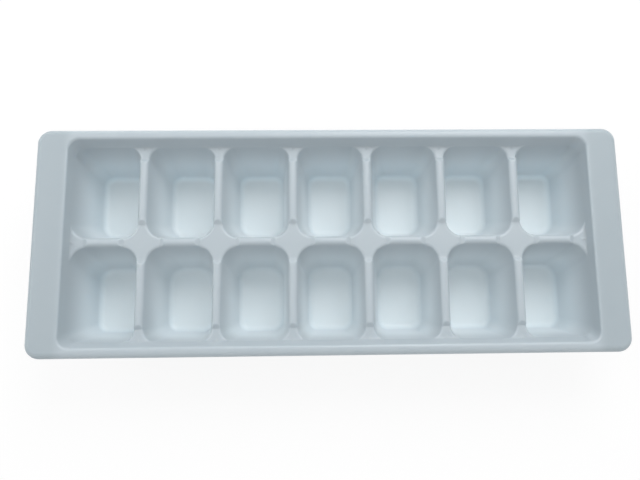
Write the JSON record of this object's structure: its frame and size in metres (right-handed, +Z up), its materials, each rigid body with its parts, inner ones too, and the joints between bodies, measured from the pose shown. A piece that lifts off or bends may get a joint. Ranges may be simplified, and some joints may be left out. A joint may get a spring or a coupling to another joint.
{
  "type": "ice cube tray",
  "caption": "Plastic ice cube tray: rows of tapered cells in a shallow well, with channels over the dividers and a flat grip flange at each end.",
  "frame": {"origin": "centre of the plane that the cell floors stand on", "axes": "+X along the tray towards the right-hand grip, +Y across it towards the back row, +Z up out of the cells"},
  "size_m": [0.2526, 0.098, 0.037],
  "materials": {
    "tray_plastic": "satin, slightly translucent pale blue-grey polypropylene"
  },
  "bodies": {
    "root": {"cell_back_1": "tray_plastic", "cell_back_2": "tray_plastic", "cell_back_3": "tray_plastic", "cell_back_4": "tray_plastic", "cell_back_5": "tray_plastic", "cell_back_6": "tray_plastic", "cell_back_7": "tray_plastic", "cell_front_1": "tray_plastic", "cell_front_2": "tray_plastic", "cell_front_3": "tray_plastic", "cell_front_4": "tray_plastic", "cell_front_5": "tray_plastic", "cell_front_6": "tray_plastic", "cell_front_7": "tray_plastic", "spine_ridges": "tray_plastic", "divider_ridges_back": "tray_plastic", "divider_ridges_front": "tray_plastic", "rim_back": "tray_plastic", "rim_front": "tray_plastic", "grip_left": "tray_plastic", "grip_right": "tray_plastic"}
  },
  "joints": []
}
